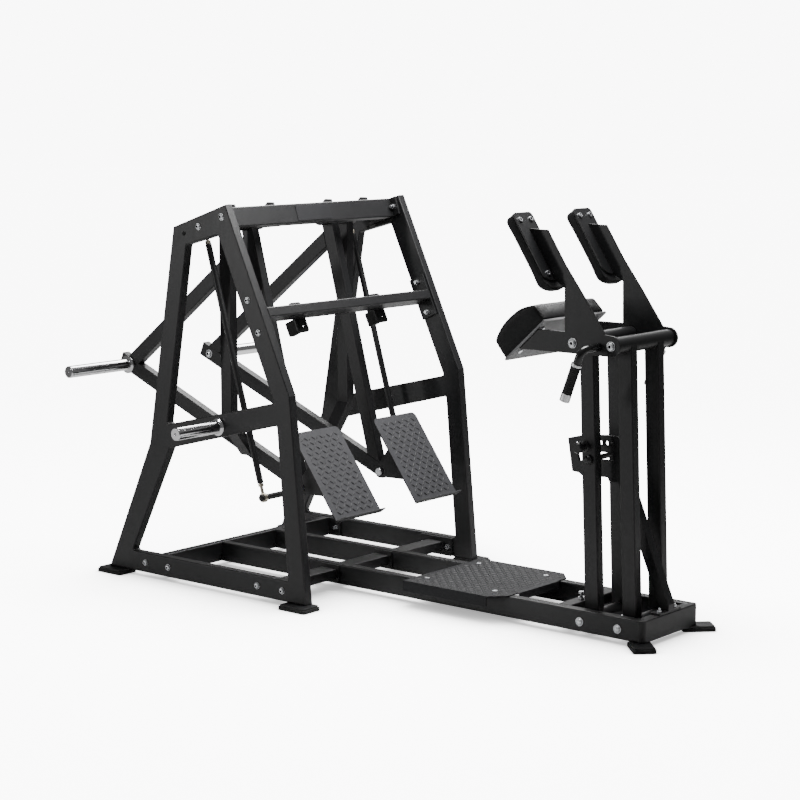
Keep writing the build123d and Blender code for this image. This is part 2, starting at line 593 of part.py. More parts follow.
for tag, s in (("right", -1), ("left", 1)):
    tread_plane = Plane(origin=(X0 + FOOT_MID[0], s * 241.0, FOOT_MID[1]), x_dir=(0, 1, 0),
                        z_dir=(-sin(radians(FOOT_DIR)), 0, cos(radians(FOOT_DIR))))
    with BuildPart() as tread:
        with BuildSketch(tread_plane):
            Rectangle(FOOT_W, FOOT_LEN)
        extrude(amount=-PLATE_T)
        fillet(tread.edges().filter_by(lambda e: abs(e.length - PLATE_T) < 0.01).group_by(Axis.Z)[-1], 22)
        # toe flange bent forward along the lower edge, cut away at its right end
        toe_x, toe_z = foot_pt(FOOT_LEN / 2 - 5, 0)
        with BuildSketch(Plane(origin=(X0 + toe_x, s * 241.0, toe_z), x_dir=(0, 1, 0),
                               z_dir=(cos(radians(FOOT_DIR)), 0, sin(radians(FOOT_DIR))))) as toe:
            with BuildLine():
                Polyline((-FOOT_W / 2, 0), (FOOT_W / 2, 0), (FOOT_W / 2, TOE_SIDE * TOE_H), (-FOOT_W / 2 + 34, TOE_SIDE * TOE_H), (-FOOT_W / 2, TOE_SIDE * 6), close=True)
            make_face()
        extrude(amount=5)
    write(tread.part, f"{tag}_foot_tread")

    with BuildPart() as bracket:
        for k, y in enumerate((213.5, 267.5)):
            with BuildSketch(side(s * y)):
                with BuildLine():
                    Polyline(foot_pt(-110, PLATE_T), foot_pt(110, PLATE_T), local(HINGE, FOOT_DIR, 27, 0), local(HINGE, FOOT_DIR, -27, 0), close=True)
                make_face()
                with Locations(HINGE):
                    Circle(27)
                if k == 1:
                    with BuildLine():
                        Polyline((HINGE[0], HINGE[1] + 24), (ROD_LOW[0] - 3, ROD_LOW[1] + 16), (ROD_LOW[0] - 3, ROD_LOW[1] - 16), (HINGE[0], HINGE[1] - 26), close=True)
                    make_face()
                    with Locations(ROD_LOW):
                        Circle(17)
                with Locations(HINGE):
                    Circle(10.06, mode=Mode.SUBTRACT)
            extrude(amount=4, both=True)
        with BuildSketch(side(s * 240.5)):
            with BuildLine():
                Polyline(foot_pt(-70, PLATE_T), foot_pt(70, PLATE_T), foot_pt(70, PLATE_T + 6), foot_pt(-70, PLATE_T + 6), close=True)
            make_face()
        extrude(amount=23, both=True)
        # stub that carries the lower rod end out to the rod's plane
        half = [(0, 271.5), (12, 271.5), (12, ROD_Y - 7.6), (8, ROD_Y - 7.6), (8, ROD_Y + 7.6), (13, ROD_Y + 7.6),
                (13, ROD_Y + 15), (6, ROD_Y + 19), (0, ROD_Y + 19)]
        with BuildSketch(Plane(origin=(X0 + ROD_LOW[0], 0, ROD_LOW[1]), x_dir=(1, 0, 0), z_dir=(0, 0, 1))):
            with BuildLine():
                Polyline(*[(p, s * q) for p, q in half], close=True)
            make_face()
        revolve(axis=Axis((X0 + ROD_LOW[0], 0, ROD_LOW[1]), (0, 1, 0)))
    write(bracket.part, f"{tag}_foot_bracket")

    # parallelogram rods with threaded eyes
    ROD_EYE = 58.0                 # eye centre to the end of the tube
    rod_dx, rod_dz = ROD_LOW[0] - ROD_TOP[0], ROD_LOW[1] - ROD_TOP[1]
    rod_len = hypot(rod_dx, rod_dz)
    along = Vector(rod_dx / rod_len, 0, rod_dz / rod_len)
    top = Vector(X0 + ROD_TOP[0], s * ROD_Y, ROD_TOP[1])
    with BuildPart() as rod_tube:
        with BuildSketch(Plane(origin=top + along * ROD_EYE, z_dir=along)):
            Circle(12.5)
        extrude(amount=rod_len - 2 * ROD_EYE)
        fillet(rod_tube.edges(), 1.5)
    write(rod_tube.part, f"{tag}_rod_tube")
    with BuildPart() as rod_ends:
        for start, way in ((top, along), (top + along * rod_len, along * -1)):
            with BuildSketch(Plane(origin=start + way * 17, z_dir=way)):
                Circle(6.5)
            extrude(amount=ROD_EYE - 17)
            with BuildSketch(Plane(origin=start + way * (ROD_EYE - 13), z_dir=way)):
                RegularPolygon(11.5, 6)
            extrude(amount=12)
        for px, pz, r in ((ROD_TOP[0], ROD_TOP[1], 8.06), (ROD_LOW[0], ROD_LOW[1], 8.35)):
            with BuildSketch(side(s * ROD_Y)):
                with Locations((px, pz)):
                    Circle(18.5)
            extrude(amount=7, both=True)
            with BuildSketch(side(s * ROD_Y)):
                with Locations((px, pz)):
                    Circle(r)
            extrude(amount=20, both=True, mode=Mode.SUBTRACT)
    write(rod_ends.part, f"{tag}_rod_ends")

# ---------------------------------------------------------------------------
# Pad tower: front and rear posts on four pivots, index plate, brace, pull pin
# ---------------------------------------------------------------------------
TOWER_Y = 87.0
with BuildPart() as tower_pivot_bolts:
    for px, pz in (TF, TR):
        half = [(0, -RAIL_OUT - 9), (5, -RAIL_OUT - 9), (11, -RAIL_OUT - 6), (13, -RAIL_OUT - 2), (16, -RAIL_OUT - 2), (16, -RAIL_OUT),
                (12, -RAIL_OUT), (12, RAIL_OUT), (16, RAIL_OUT), (16, RAIL_OUT + 2), (13, RAIL_OUT + 2), (11, RAIL_OUT + 6), (5, RAIL_OUT + 9), (0, RAIL_OUT + 9)]
        with BuildSketch(Plane(origin=(X0 + px, 0, pz), x_dir=(1, 0, 0), z_dir=(0, 0, 1))):
            with BuildLine():
                Polyline(*half, close=True)
            make_face()
        revolve(axis=Axis((X0 + px, 0, pz), (0, 1, 0)))
write(tower_pivot_bolts.part, "tower_pivot_bolts")

GUIDE_R = 582.0            # arc slot radius about the lower front pivot
INDEX_R = 630.0            # index hole radius
POST_DIR = degrees(atan2(HF[1] - TF[1], HF[0] - TF[0]))
POST_LEN = hypot(HF[0] - TF[0], HF[1] - TF[1])


def post_pt(d, v):
    return local(TF, POST_DIR, d, v)


for name, low, high in (("front_posts", TF, HF), ("rear_posts", TR, HR)):
    with BuildPart() as posts:
        for s in (-1, 1):
            with BuildSketch(side(s * TOWER_Y)):
                with BuildLine():
                    Polyline(*offset_line(low, high, 60), close=True)
                make_face()
            extrude(amount=20, both=True)
        fillet(posts.edges().filter_by(lambda e: e.length > 900), 4)
        for (px, pz), r, half_y in ((low, 26, RAIL_IN - 1.5), (high, 30, CHEEK_OUT - CHEEK_T - 1.0)):
            with BuildSketch(side(0)):
                with Locations((px, pz)):
                    Circle(r)
            extrude(amount=half_y, both=True)
        if name == "front_posts":
            with BuildSketch(side(0)):
                with Locations(post_pt(GUIDE_R, 0)):
                    Circle(10.02)
            extrude(amount=200, both=True, mode=Mode.SUBTRACT)
            with BuildSketch(side(-60)):
                with Locations(local(TF, degrees(atan2(629.0, -40.0)), INDEX_R, 0)):
                    Circle(8.56)
            extrude(amount=60, mode=Mode.SUBTRACT)
        with BuildSketch(side(0)):
            with Locations(low):
                Circle(12.05)
        extrude(amount=300, both=True, mode=Mode.SUBTRACT)
        with BuildSketch(side(0)):
            with Locations(high):
                Circle(10.3 if name == "rear_posts" else 10.05)
        extrude(amount=300, both=True, mode=Mode.SUBTRACT)
    write(posts.part, name)

# guide bolt through both front posts, riding in the arc slot
with BuildPart() as guide_bolt:
    gx, gz = post_pt(GUIDE_R, 0)
    half = [(0, -124), (8, -124), (13, -121), (16, -117), (18, -117), (18, -107), (10, -107), (10, 107), (17, 107), (17, 119), (10, 121), (0, 121)]
    with BuildSketch(Plane(origin=(X0 + gx, 0, gz), x_dir=(1, 0, 0), z_dir=(0, 0, 1))):
        with BuildLine():
            Polyline(*half, close=True)
        make_face()
    revolve(axis=Axis((X0 + gx, 0, gz), (0, 1, 0)))

# spring pull pin: housing on the right front post, pin and knob that slide along Y
REST_A = degrees(atan2(629.0, -40.0))      # direction of the pin's own index hole
ix, iz = local(TF, REST_A, INDEX_R, 0)
with BuildPart() as pin_housing:
    half = [(8.55, -107), (21, -107), (21, -112), (15, -114), (15, -119), (8.55, -119)]
    with BuildSketch(Plane(origin=(X0 + ix, 0, iz), x_dir=(1, 0, 0), z_dir=(0, 0, 1))):
        with BuildLine():
            Polyline(*half, close=True)
        make_face()
    revolve(axis=Axis((X0 + ix, 0, iz), (0, 1, 0)))
with BuildPart() as post_hardware:
    add([guide_bolt.part, pin_housing.part])
write(post_hardware.part, "post_hardware")
with BuildPart() as pull_pin:
    half = [(0, -8.5), (5, -8.5), (8.5, -14), (8.5, -138), (14, -138), (20, -143), (20, -155), (16, -161), (0, -161)]
    with BuildSketch(Plane(origin=(X0 + ix, 0, iz), x_dir=(1, 0, 0), z_dir=(0, 0, 1))):
        with BuildLine():
            Polyline(*half, close=True)
        make_face()
    revolve(axis=Axis((X0 + ix, 0, iz), (0, 1, 0)))
write(pull_pin.part, "pull_pin")

# index plate: slot and row of holes on arcs about the lower front pivot
STEP_A = 2.4
SLOT_A = (POST_DIR - 3.8, POST_DIR + 11.4)
with BuildPart() as sector_plate:
    with BuildSketch(side(0)):
        with BuildLine():
            Polyline((831, 689), (884, 703), (974, 714), (1006, 717), (1080, 714), (1096, 700), (1096, 580), (1080, 548), (1016, 546),
                     (1008, 561), (981, 559), (894, 556), (882, 564), (852, 567), close=True)
        make_face()
    extrude(amount=6, both=True)
    with BuildSketch(side(0)):
        for k in range(-2, 5):
            with Locations(local(TF, REST_A + k * STEP_A, INDEX_R, 0)):
                Circle(8.8)
        with BuildLine():
            a0, a1 = SLOT_A
            p = [local(TF, a0, GUIDE_R - 14, 0), local(TF, (a0 + a1) / 2, GUIDE_R - 14, 0), local(TF, a1, GUIDE_R - 14, 0)]
            q = [local(TF, a1, GUIDE_R + 14, 0), local(TF, (a0 + a1) / 2, GUIDE_R + 14, 0), local(TF, a0, GUIDE_R + 14, 0)]
            ThreePointArc(*p)
            Line(p[2], q[0])
            ThreePointArc(*q)
            Line(q[2], p[0])
        make_face()
    extrude(amount=20, both=True, mode=Mode.SUBTRACT)
write(sector_plate.part, "sector_plate")

# sloping brace that carries the index plate, bolted on the end beam
BRACE_TOP, BRACE_LOW = (1073.0, 640.0), (1270.0, 150.0)
with BuildPart() as sector_brace:
    with BuildSketch(side(0)):
        with BuildLine():
            Polyline((1052, 720), (1096, 700), (1096, 590), (1289, 130), (1289, 108), (1246, 108), (1246, 128), (1040, 610), (1040, 716), close=True)
        make_face()
    extrude(amount=20, both=True)
    with BuildSketch(side(0)):
        with BuildLine():
            Polyline((831, 689), (884, 703), (974, 714), (1006, 717), (1080, 714), (1096, 700), (1096, 580), (1080, 548), (1016, 546),
                     (1008, 561), (981, 559), (894, 556), (882, 564), (852, 567), close=True)
        make_face()
    extrude(amount=6, both=True, mode=Mode.SUBTRACT)
    with BuildSketch(level(100)):
        with Locations((RAIL_END - 22, 0)):
            RectangleRounded(40, 150, 6)
        with Locations((RAIL_END - 20, -50), (RAIL_END - 20, 50)):
            Circle(5.1, mode=Mode.SUBTRACT)
    extrude(amount=8)
write(sector_brace.part, "sector_brace")

with BuildPart() as brace_bolts:
    for s in (-1, 1):
        with BuildSketch(level(108)):
            with Locations((RAIL_END - 20, s * 50)):
                RegularPolygon(9.5, 6)
        extrude(amount=7)
        with BuildSketch(level(60)):
            with Locations((RAIL_END - 20, s * 50)):
                Circle(5)
        extrude(amount=62)
with BuildPart() as base_fasteners:
    add([stop_bolt.part, standing_plate_bolts.part, brace_bolts.part])
write(base_fasteners.part, "base_fasteners")

# ---------------------------------------------------------------------------
# Head: cheek plates, shoulder pads, chest pad, handles
# ---------------------------------------------------------------------------
PAD_LOW = (676.0, 986.0)           # lower rear corner of the chest pad
PAD_TILT = degrees(atan2(161, 179))
PAD_LEN = 241.0
PAD_HALF = 196.0
BACK_T = 8.0
SH_TOP = (748.0, 1508.0)           # top front corner of the shoulder pad plates
SH_DIR = -57.0
SH_PLATE = 265.0
SH_LEN = 300.0
SH_THICK = 48.0
SH_Y = 187.0
SH_HALF = 59.0
SH_START = -18.0


def pad_pt(u, v):
    return local(PAD_LOW, PAD_TILT, u, v)


def sh_pt(u, v):
    return local(SH_TOP, SH_DIR, u, v)


low_u = (1031 - PAD_LOW[1] + BACK_T * cos(radians(PAD_TILT))) / sin(radians(PAD_TILT))
high_u = (1107 - PAD_LOW[1] + BACK_T * cos(radians(PAD_TILT))) / sin(radians(PAD_TILT))
CHEEK = [pad_pt(low_u, -BACK_T), (1139, 1031), (1139, 1105), (1112, 1107), (1021, 1235), (937, 1346), (859, 1466),
         sh_pt(52, 6), sh_pt(SH_PLATE, 6), (938, 1262), (941, 1107), pad_pt(high_u, -BACK_T)]
with BuildPart() as cheek_plates:
    for s in (-1, 1):
        with BuildSketch(side(s * (CHEEK_OUT - CHEEK_T / 2))):
            with BuildLine():
                Polyline(*CHEEK, close=True)
            make_face()
            with Locations(HR):
                Circle(37)
            with Locations(HF, HR):
                Circle(10.3, mode=Mode.SUBTRACT)
        extrude(amount=CHEEK_T / 2, both=True)
write(cheek_plates.part, "cheek_plates")

CHEST_BOLTS = [(u, y) for u in (58, 190) for y in (-160, 160)]
with BuildPart() as chest_back_plate:
    with BuildSketch(side(0)):
        with BuildLine():
            Polyline(pad_pt(4, 0), pad_pt(PAD_LEN - 4, 0), pad_pt(PAD_LEN - 4, -BACK_T), pad_pt(4, -BACK_T), close=True)
        make_face()
    extrude(amount=PAD_HALF + 1, both=True)

# chest pad: crowned upholstered block on the back plate
with BuildPart() as chest_pad:
    with BuildSketch(side(0)):
        with BuildLine():
            Line(pad_pt(0, 0.3), pad_pt(PAD_LEN, 0.3))
            Line(pad_pt(PAD_LEN, 0.3), pad_pt(PAD_LEN - 2, 70))
            ThreePointArc(pad_pt(PAD_LEN - 2, 70), pad_pt(PAD_LEN / 2, 112), pad_pt(2, 82))
            Line(pad_pt(2, 82), pad_pt(0, 0.3))
        make_face()
    extrude(amount=PAD_HALF, both=True)
    fillet(chest_pad.faces().sort_by(Axis.Y)[-1].edges(), 8)
    fillet(chest_pad.faces().sort_by(Axis.Y)[0].edges(), 8)
write(chest_pad.part, "chest_pad")

write(chest_back_plate.part, "chest_back_plate")

SH_NORMAL = (-sin(radians(SH_DIR)), 0, cos(radians(SH_DIR)))
with BuildPart() as shoulder_pad_plates:
    for s in (-1, 1):
        mx, mz = sh_pt((SH_START + SH_PLATE) / 2, 0)
        with BuildSketch(Plane(origin=(X0 + mx, s * SH_Y, mz), x_dir=(0, 1, 0), z_dir=SH_NORMAL)):
            Rectangle(2 * SH_HALF - 6, SH_PLATE - SH_START - 4)
        extrude(amount=6)
    fillet(shoulder_pad_plates.edges().filter_by(lambda e: abs(e.length - 6) < 0.01).group_by(Axis.Z)[-1], 16)
    fillet(shoulder_pad_plates.edges().filter_by(lambda e: abs(e.length - 6) < 0.01).group_by(Axis.Z)[0], 34)
write(shoulder_pad_plates.part, "shoulder_pad_plates")

with BuildPart() as shoulder_pads:
    for s in (-1, 1):
        with BuildSketch(side(s * SH_Y)):
            with BuildLine():
                Polyline(sh_pt(SH_START, -0.3), sh_pt(SH_LEN, -0.3), sh_pt(SH_LEN, -SH_THICK), sh_pt(SH_START, -SH_THICK), close=True)
            make_face()
        extrude(amount=SH_HALF, both=True)
    fillet(shoulder_pads.edges().filter_by(lambda e: abs(e.length - 2 * SH_HALF) < 0.5).group_by(Axis.Z)[0], 16)
write(shoulder_pads.part, "shoulder_pads")

# button head bolts that hold the pads on their plates
with BuildPart() as pad_bolts:
    for s in (-1, 1):
        for u, y in ((14, SH_Y - 32), (14, SH_Y + 32), (235, SH_Y + 26)):
            ox, oz = sh_pt(u, 6)
            head_plane = Plane(origin=(X0 + ox, s * y, oz), x_dir=(0, 1, 0), z_dir=SH_NORMAL)
            with BuildSketch(head_plane):
                Circle(9.5)
                RegularPolygon(4.4, 6, mode=Mode.SUBTRACT)
            extrude(amount=5)
            with BuildSketch(head_plane):
                Circle(7)
            extrude(amount=1.5)
        for u in (58, 190):
            ox, oz = pad_pt(u, -BACK_T)
            nrm = Vector(sin(radians(PAD_TILT)), 0, -cos(radians(PAD_TILT)))
            with BuildSketch(Plane(origin=(X0 + ox, s * 165, oz), x_dir=(0, 1, 0), z_dir=nrm)):
                Circle(9.5)
            extrude(amount=5)
write(pad_bolts.part, "pad_bolts")

# bent handle tubes outside the cheeks, with rubber grips and aluminium rings and caps
HANDLE_A, HANDLE_B, HANDLE_C = (1086.0, 191.0, 1062.0), (1070.0, 272.0, 1058.0), (1000.0, 272.0, 872.0)
HANDLE_R = 14.5


def handle_pt(s, p):
    return Vector(X0 + p[0], s * p[1], p[2])


with BuildPart() as handles:
    for s in (-1, 1):
        a, b, c = (handle_pt(s, p) for p in (HANDLE_A, HANDLE_B, HANDLE_C))
        end = c - (c - b).normalized() * 6
        with BuildLine() as path:
            FilletPolyline(a, b, end, radius=34)
        with BuildSketch(Plane(origin=a, z_dir=(b - a))):
            Circle(HANDLE_R)
        sweep(path=path.line)
    with BuildSketch(side(0)):
        Rectangle(4000, 4000)
    extrude(amount=CHEEK_OUT, both=True, mode=Mode.SUBTRACT)
write(handles.part, "handles")

with BuildPart() as handle_grips:
    for s in (-1, 1):
        b, c = handle_pt(s, HANDLE_B), handle_pt(s, HANDLE_C)
        way = (b - c).normalized()
        with BuildSketch(Plane(origin=c + way * 30, z_dir=way)):
            Circle(18.5)
            Circle(HANDLE_R, mode=Mode.SUBTRACT)
        extrude(amount=106)
write(handle_grips.part, "handle_grips")

with BuildPart() as grip_rings:
    for s in (-1, 1):
        b, c = handle_pt(s, HANDLE_B), handle_pt(s, HANDLE_C)
        way = (b - c).normalized()
        with BuildSketch(Plane(origin=c + way * 136, z_dir=way)):
            Circle(20)
            Circle(HANDLE_R, mode=Mode.SUBTRACT)
        extrude(amount=9)
        with BuildSketch(Plane(origin=c, z_dir=way)):
            Circle(19)
        extrude(amount=30)
        with BuildSketch(Plane(origin=c + way * 6, z_dir=way)):
            Circle(HANDLE_R)
        extrude(amount=30, mode=Mode.SUBTRACT)
write(grip_rings.part, "grip_rings")

# shoulder bolts that hinge the head on the posts
with BuildPart() as head_pivot_bolts:
    for s in (-1, 1):
        for px, pz in (HF, HR):
            r_out = 10.0
            half = [(0, 130), (r_out, 130), (r_out, CHEEK_OUT), (18, CHEEK_OUT), (18, CHEEK_OUT + 2), (14, CHEEK_OUT + 2), (13, CHEEK_OUT + 7),
                    (9, CHEEK_OUT + 10), (5.5, CHEEK_OUT + 10), (5.5, CHEEK_OUT + 4), (0, CHEEK_OUT + 4)]
            with BuildSketch(Plane(origin=(X0 + px, 0, pz), x_dir=(1, 0, 0), z_dir=(0, 0, 1))):
                with BuildLine():
                    Polyline(*[(p, s * q) for p, q in half], close=True)
                make_face()
            revolve(axis=Axis((X0 + px, 0, pz), (0, 1, 0)))
write(head_pivot_bolts.part, "head_pivot_bolts")
print("done")
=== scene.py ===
import json
import math
import random

import bmesh
import bpy
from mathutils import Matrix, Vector
from mathutils.bvhtree import BVHTree


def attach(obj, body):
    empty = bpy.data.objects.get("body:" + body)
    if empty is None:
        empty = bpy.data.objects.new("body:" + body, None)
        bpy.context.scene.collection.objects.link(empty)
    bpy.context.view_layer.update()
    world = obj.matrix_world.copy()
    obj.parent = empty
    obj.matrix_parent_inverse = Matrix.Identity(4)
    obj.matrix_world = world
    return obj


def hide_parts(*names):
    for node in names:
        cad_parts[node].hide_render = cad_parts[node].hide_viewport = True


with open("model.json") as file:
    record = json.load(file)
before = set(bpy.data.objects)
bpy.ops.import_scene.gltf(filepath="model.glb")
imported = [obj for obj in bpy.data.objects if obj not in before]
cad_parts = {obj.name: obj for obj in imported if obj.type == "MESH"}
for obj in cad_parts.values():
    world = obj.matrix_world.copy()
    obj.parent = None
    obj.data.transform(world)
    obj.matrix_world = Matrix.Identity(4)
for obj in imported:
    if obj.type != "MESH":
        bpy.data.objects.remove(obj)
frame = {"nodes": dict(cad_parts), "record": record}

NODES = frame["nodes"]
SCENE = bpy.context.scene
COLL = SCENE.collection
random.seed(7)

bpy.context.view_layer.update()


# ---------------------------------------------------------------- node helpers
class Mat:
    """Small builder for one procedural material."""

    def __init__(self, name):
        self.m = bpy.data.materials.new(name)
        self.m.use_nodes = True
        self.t = self.m.node_tree
        self.t.nodes.clear()
        self.out = self.t.nodes.new("ShaderNodeOutputMaterial")
        self.b = self.t.nodes.new("ShaderNodeBsdfPrincipled")
        self.link(self.b.outputs["BSDF"], self.out.inputs["Surface"])
        self.co = self.t.nodes.new("ShaderNodeTexCoord").outputs["Object"]

    def link(self, a, b):
        self.t.links.new(a, b)

    def node(self, kind, **values):
        n = self.t.nodes.new(kind)
        for k, v in values.items():
            if k in n.inputs:
                n.inputs[k].default_value = v
            else:
                setattr(n, k, v)
        return n

    def noise(self, scale, detail=3.0, rough=0.55, stretch=None, coord=None):
        src = coord or self.co
        if stretch:
            mp = self.node("ShaderNodeMapping")
            mp.inputs["Scale"].default_value = stretch
            self.link(src, mp.inputs["Vector"])
            src = mp.outputs["Vector"]
        n = self.node("ShaderNodeTexNoise", Scale=scale, Detail=detail, Roughness=rough)
        self.link(src, n.inputs["Vector"])
        return n.outputs["Fac"]

    def cells(self, scale, feature="F1"):
        n = self.node("ShaderNodeTexVoronoi", Scale=scale)
        n.feature = feature
        self.link(self.co, n.inputs["Vector"])
        return n.outputs["Distance"]

    def ramp(self, fac, stops):
        n = self.node("ShaderNodeValToRGB")
        el = n.color_ramp.elements
        while len(el) < len(stops):
            el.new(0.5)
        for e, (p, c) in zip(el, stops):
            e.position = p
            e.color = (*c, 1.0) if hasattr(c, "__len__") else (c, c, c, 1.0)
        self.link(fac, n.inputs["Fac"])
        return n.outputs["Color"]

    def math(self, op, a, b):
        n = self.t.nodes.new("ShaderNodeMath")
        n.operation = op
        for i, v in enumerate((a, b)):
            if isinstance(v, (int, float)):
                n.inputs[i].default_value = v
            else:
                self.link(v, n.inputs[i])
        return n.outputs[0]

    def mix(self, fac, a, b):
        n = self.t.nodes.new("ShaderNodeMix")
        n.data_type = "RGBA"
        for sock, v in ((n.inputs[0], fac), (n.inputs[6], a), (n.inputs[7], b)):
            if isinstance(v, (int, float)):
                sock.default_value = v
            elif isinstance(v, tuple):
                sock.default_value = (*v, 1.0)
            else:
                self.link(v, sock)
        return n.outputs[2]

    def bump(self, height, distance, strength=1.0, after=None):
        n = self.node("ShaderNodeBump", Distance=distance, Strength=strength)
        self.link(height, n.inputs["Height"])
        if after is not None:
            self.link(after, n.inputs["Normal"])
        return n.outputs["Normal"]

    def rounded(self, radius):
        n = self.t.nodes.new("ShaderNodeBevel")
        n.samples = 4
        n.inputs["Radius"].default_value = radius
        return n.outputs["Normal"]

    def done(self, normal=None, color=None, rough=None, **values):
        if normal is not None:
            self.link(normal, self.b.inputs["Normal"])
        if color is not None:
            if isinstance(color, tuple):
                self.b.inputs["Base Color"].default_value = (*color, 1.0)
            else:
                self.link(color, self.b.inputs["Base Color"])
        if rough is not None:
            if isinstance(rough, (int, float)):
                self.b.inputs["Roughness"].default_value = rough
            else:
                self.link(rough, self.b.inputs["Roughness"])
        for k, v in values.items():
            self.b.inputs[k.replace("_", " ")].default_value = v
        return self.m


def edge_wear(m, radius=0.0025):
    """1 on worn convex edges, 0 on flats: rounded normal against the true one, broken up by noise."""
    bev = m.t.nodes.new("ShaderNodeBevel")
    bev.samples = 4
    bev.inputs["Radius"].default_value = radius
    geo = m.t.nodes.new("ShaderNodeNewGeometry")
    dot = m.t.nodes.new("ShaderNodeVectorMath")
    dot.operation = "DOT_PRODUCT"
    m.link(bev.outputs["Normal"], dot.inputs[0])
    m.link(geo.outputs["Normal"], dot.inputs[1])
    edge = m.math("SUBTRACT", 1.0, dot.outputs["Value"])
    patch = m.noise(22.0, 4.0)
    return m.math("MULTIPLY", m.math("MULTIPLY", edge, 3.0), m.ramp(patch, [(0.45, 0.0), (0.62, 1.0)]))


def powder(name, base, rough=0.42, bump=0.00016, bevel=0.0025, coat=0.0):
    m = Mat(name)
    fine = m.noise(1500.0, 2.0)
    mid = m.noise(430.0, 3.0)
    broad = m.noise(3.2, 3.0)
    scuff = m.noise(60.0, 5.0, 0.7, stretch=(1.0, 1.0, 0.25))
    tone = m.ramp(broad, [(0.3, tuple(c * 0.86 for c in base)), (0.7, tuple(c * 1.16 for c in base))])
    wear = edge_wear(m, bevel)
    col = m.mix(m.math("MULTIPLY", wear, 0.4), tone, (0.09, 0.09, 0.093))
    r = m.math("ADD", m.math("MULTIPLY", scuff, 0.14), rough - 0.07)
    r = m.math("ADD", r, m.math("MULTIPLY", broad, 0.05))
    n = m.bump(mid, bump, 0.7, after=m.rounded(bevel))
    n = m.bump(fine, bump * 0.6, 0.6, after=n)
    return m.done(n, col, r, Coat_Weight=coat)


def metal(name, base, rough, axis="Y", streak=0.05, bevel=0.001, tarnish=0.12, painted_shade_reach=0.0):
    m = Mat(name)
    st = {"X": (1.0, 60.0, 60.0), "Y": (60.0, 1.0, 60.0), "Z": (60.0, 60.0, 1.0)}[axis]
    lines = m.noise(30.0, 4.0, 0.6, stretch=st)
    broad = m.noise(9.0, 3.0)
    spots = m.noise(160.0, 3.0)
    col = m.mix(m.math("MULTIPLY", m.ramp(broad, [(0.42, 0.0), (0.75, 1.0)]), tarnish), base, tuple(c * 0.62 for c in base))
    # painted shade: ambient occlusion within this reach mixes the colour to near black in bolt sockets and in the
    # crevice under each head
    if painted_shade_reach:
        painted_shade_ao = m.t.nodes.new("ShaderNodeAmbientOcclusion")
        painted_shade_ao.samples = 8
        painted_shade_ao.only_local = True
        painted_shade_ao.inputs["Distance"].default_value = painted_shade_reach
        col = m.mix(m.ramp(painted_shade_ao.outputs["AO"], [(0.66, 1.0), (0.86, 0.0)]), col, (0.006, 0.006, 0.006))
    r = m.math("ADD", m.math("MULTIPLY", lines, streak), rough)
    r = m.math("ADD", r, m.math("MULTIPLY", spots, streak * 0.6))
    n = m.bump(lines, 0.00004, 0.5, after=m.rounded(bevel))
    return m.done(n, col, r, Metallic=1.0)


BLACK = powder("satin_black_coat", (0.0075, 0.0075, 0.0082), 0.40)
HANDLE = powder("handle_black_coat", (0.006, 0.006, 0.0065), 0.24, 0.00005, 0.0008, 0.4)
OXIDE = powder("black_oxide_bolts", (0.006, 0.006, 0.0065), 0.30, 0.00004, 0.0006, 0.2)
CHROME = metal("hard_chrome", (0.86, 0.86, 0.87), 0.05, "Y", 0.05, 0.0015, 0.10)
# bright_zinc gets painted shade: its colour goes near black in sockets and crevices within a 9 mm occlusion reach
ZINC = metal("bright_zinc", (0.92, 0.94, 0.96), 0.27, "Z", 0.10, 0.0008, 0.2, 0.009)
ALU = metal("turned_aluminium", (0.86, 0.86, 0.87), 0.26, "Z", 0.14, 0.0008, 0.15)
BADGE = metal("blank_badge_plate", (0.06, 0.06, 0.063), 0.36, "Y", 0.12, 0.0008, 0.2)


def rubber_mat(name, base, rough=0.78):
    m = Mat(name)
    grain = m.noise(900.0, 3.0)
    dust = m.noise(14.0, 5.0, 0.65)
    col = m.mix(m.math("MULTIPLY", m.ramp(dust, [(0.45, 0.0), (0.8, 1.0)]), 0.35), base, tuple(c * 2.4 for c in base))
    r = m.math("ADD", m.math("MULTIPLY", dust, 0.14), rough - 0.08)
    return m.done(m.bump(grain, 0.00025, 0.8, after=m.rounded(0.0018)), col, r)


RUBBER = rubber_mat("moulded_rubber", (0.008, 0.008, 0.008))


def vinyl_mat(name, base, rough=0.60):
    """Upholstery vinyl: pebble grain from cells, finer creases, slight rub marks."""
    m = Mat(name)
    pebble = m.cells(620.0)
    fine = m.cells(1700.0)
    crease = m.noise(24.0, 5.0, 0.6)
    rub = m.noise(7.0, 3.0)
    col = m.mix(m.math("MULTIPLY", m.ramp(rub, [(0.45, 0.0), (0.75, 1.0)]), 0.5), base, tuple(c * 1.7 for c in base))
    r = m.math("ADD", m.math("MULTIPLY", rub, 0.16), rough - 0.08)
    n = m.bump(pebble, 0.00045, 0.75)
    n = m.bump(fine, 0.0002, 0.5, after=n)
    n = m.bump(crease, 0.0012, 0.25, after=n)
    return m.done(n, col, r, Sheen_Weight=0.03, Sheen_Roughness=0.5, Specular_IOR_Level=0.3)


VINYL = vinyl_mat("black_vinyl", (0.0045, 0.0045, 0.005))
WELT = vinyl_mat("black_vinyl_welt", (0.005, 0.005, 0.0055), 0.42)


def thread_mat():
    m = Mat("stitch_thread")
    tw = m.noise(1600.0, 2.0, stretch=(1.0, 3.0, 1.0))
    tone = m.ramp(tw, [(0.3, 0.012), (0.7, 0.035)])
    return m.done(m.bump(tw, 0.0002, 0.8), tone, m.math("ADD", m.math("MULTIPLY", tw, 0.2), 0.55))


THREAD = thread_mat()


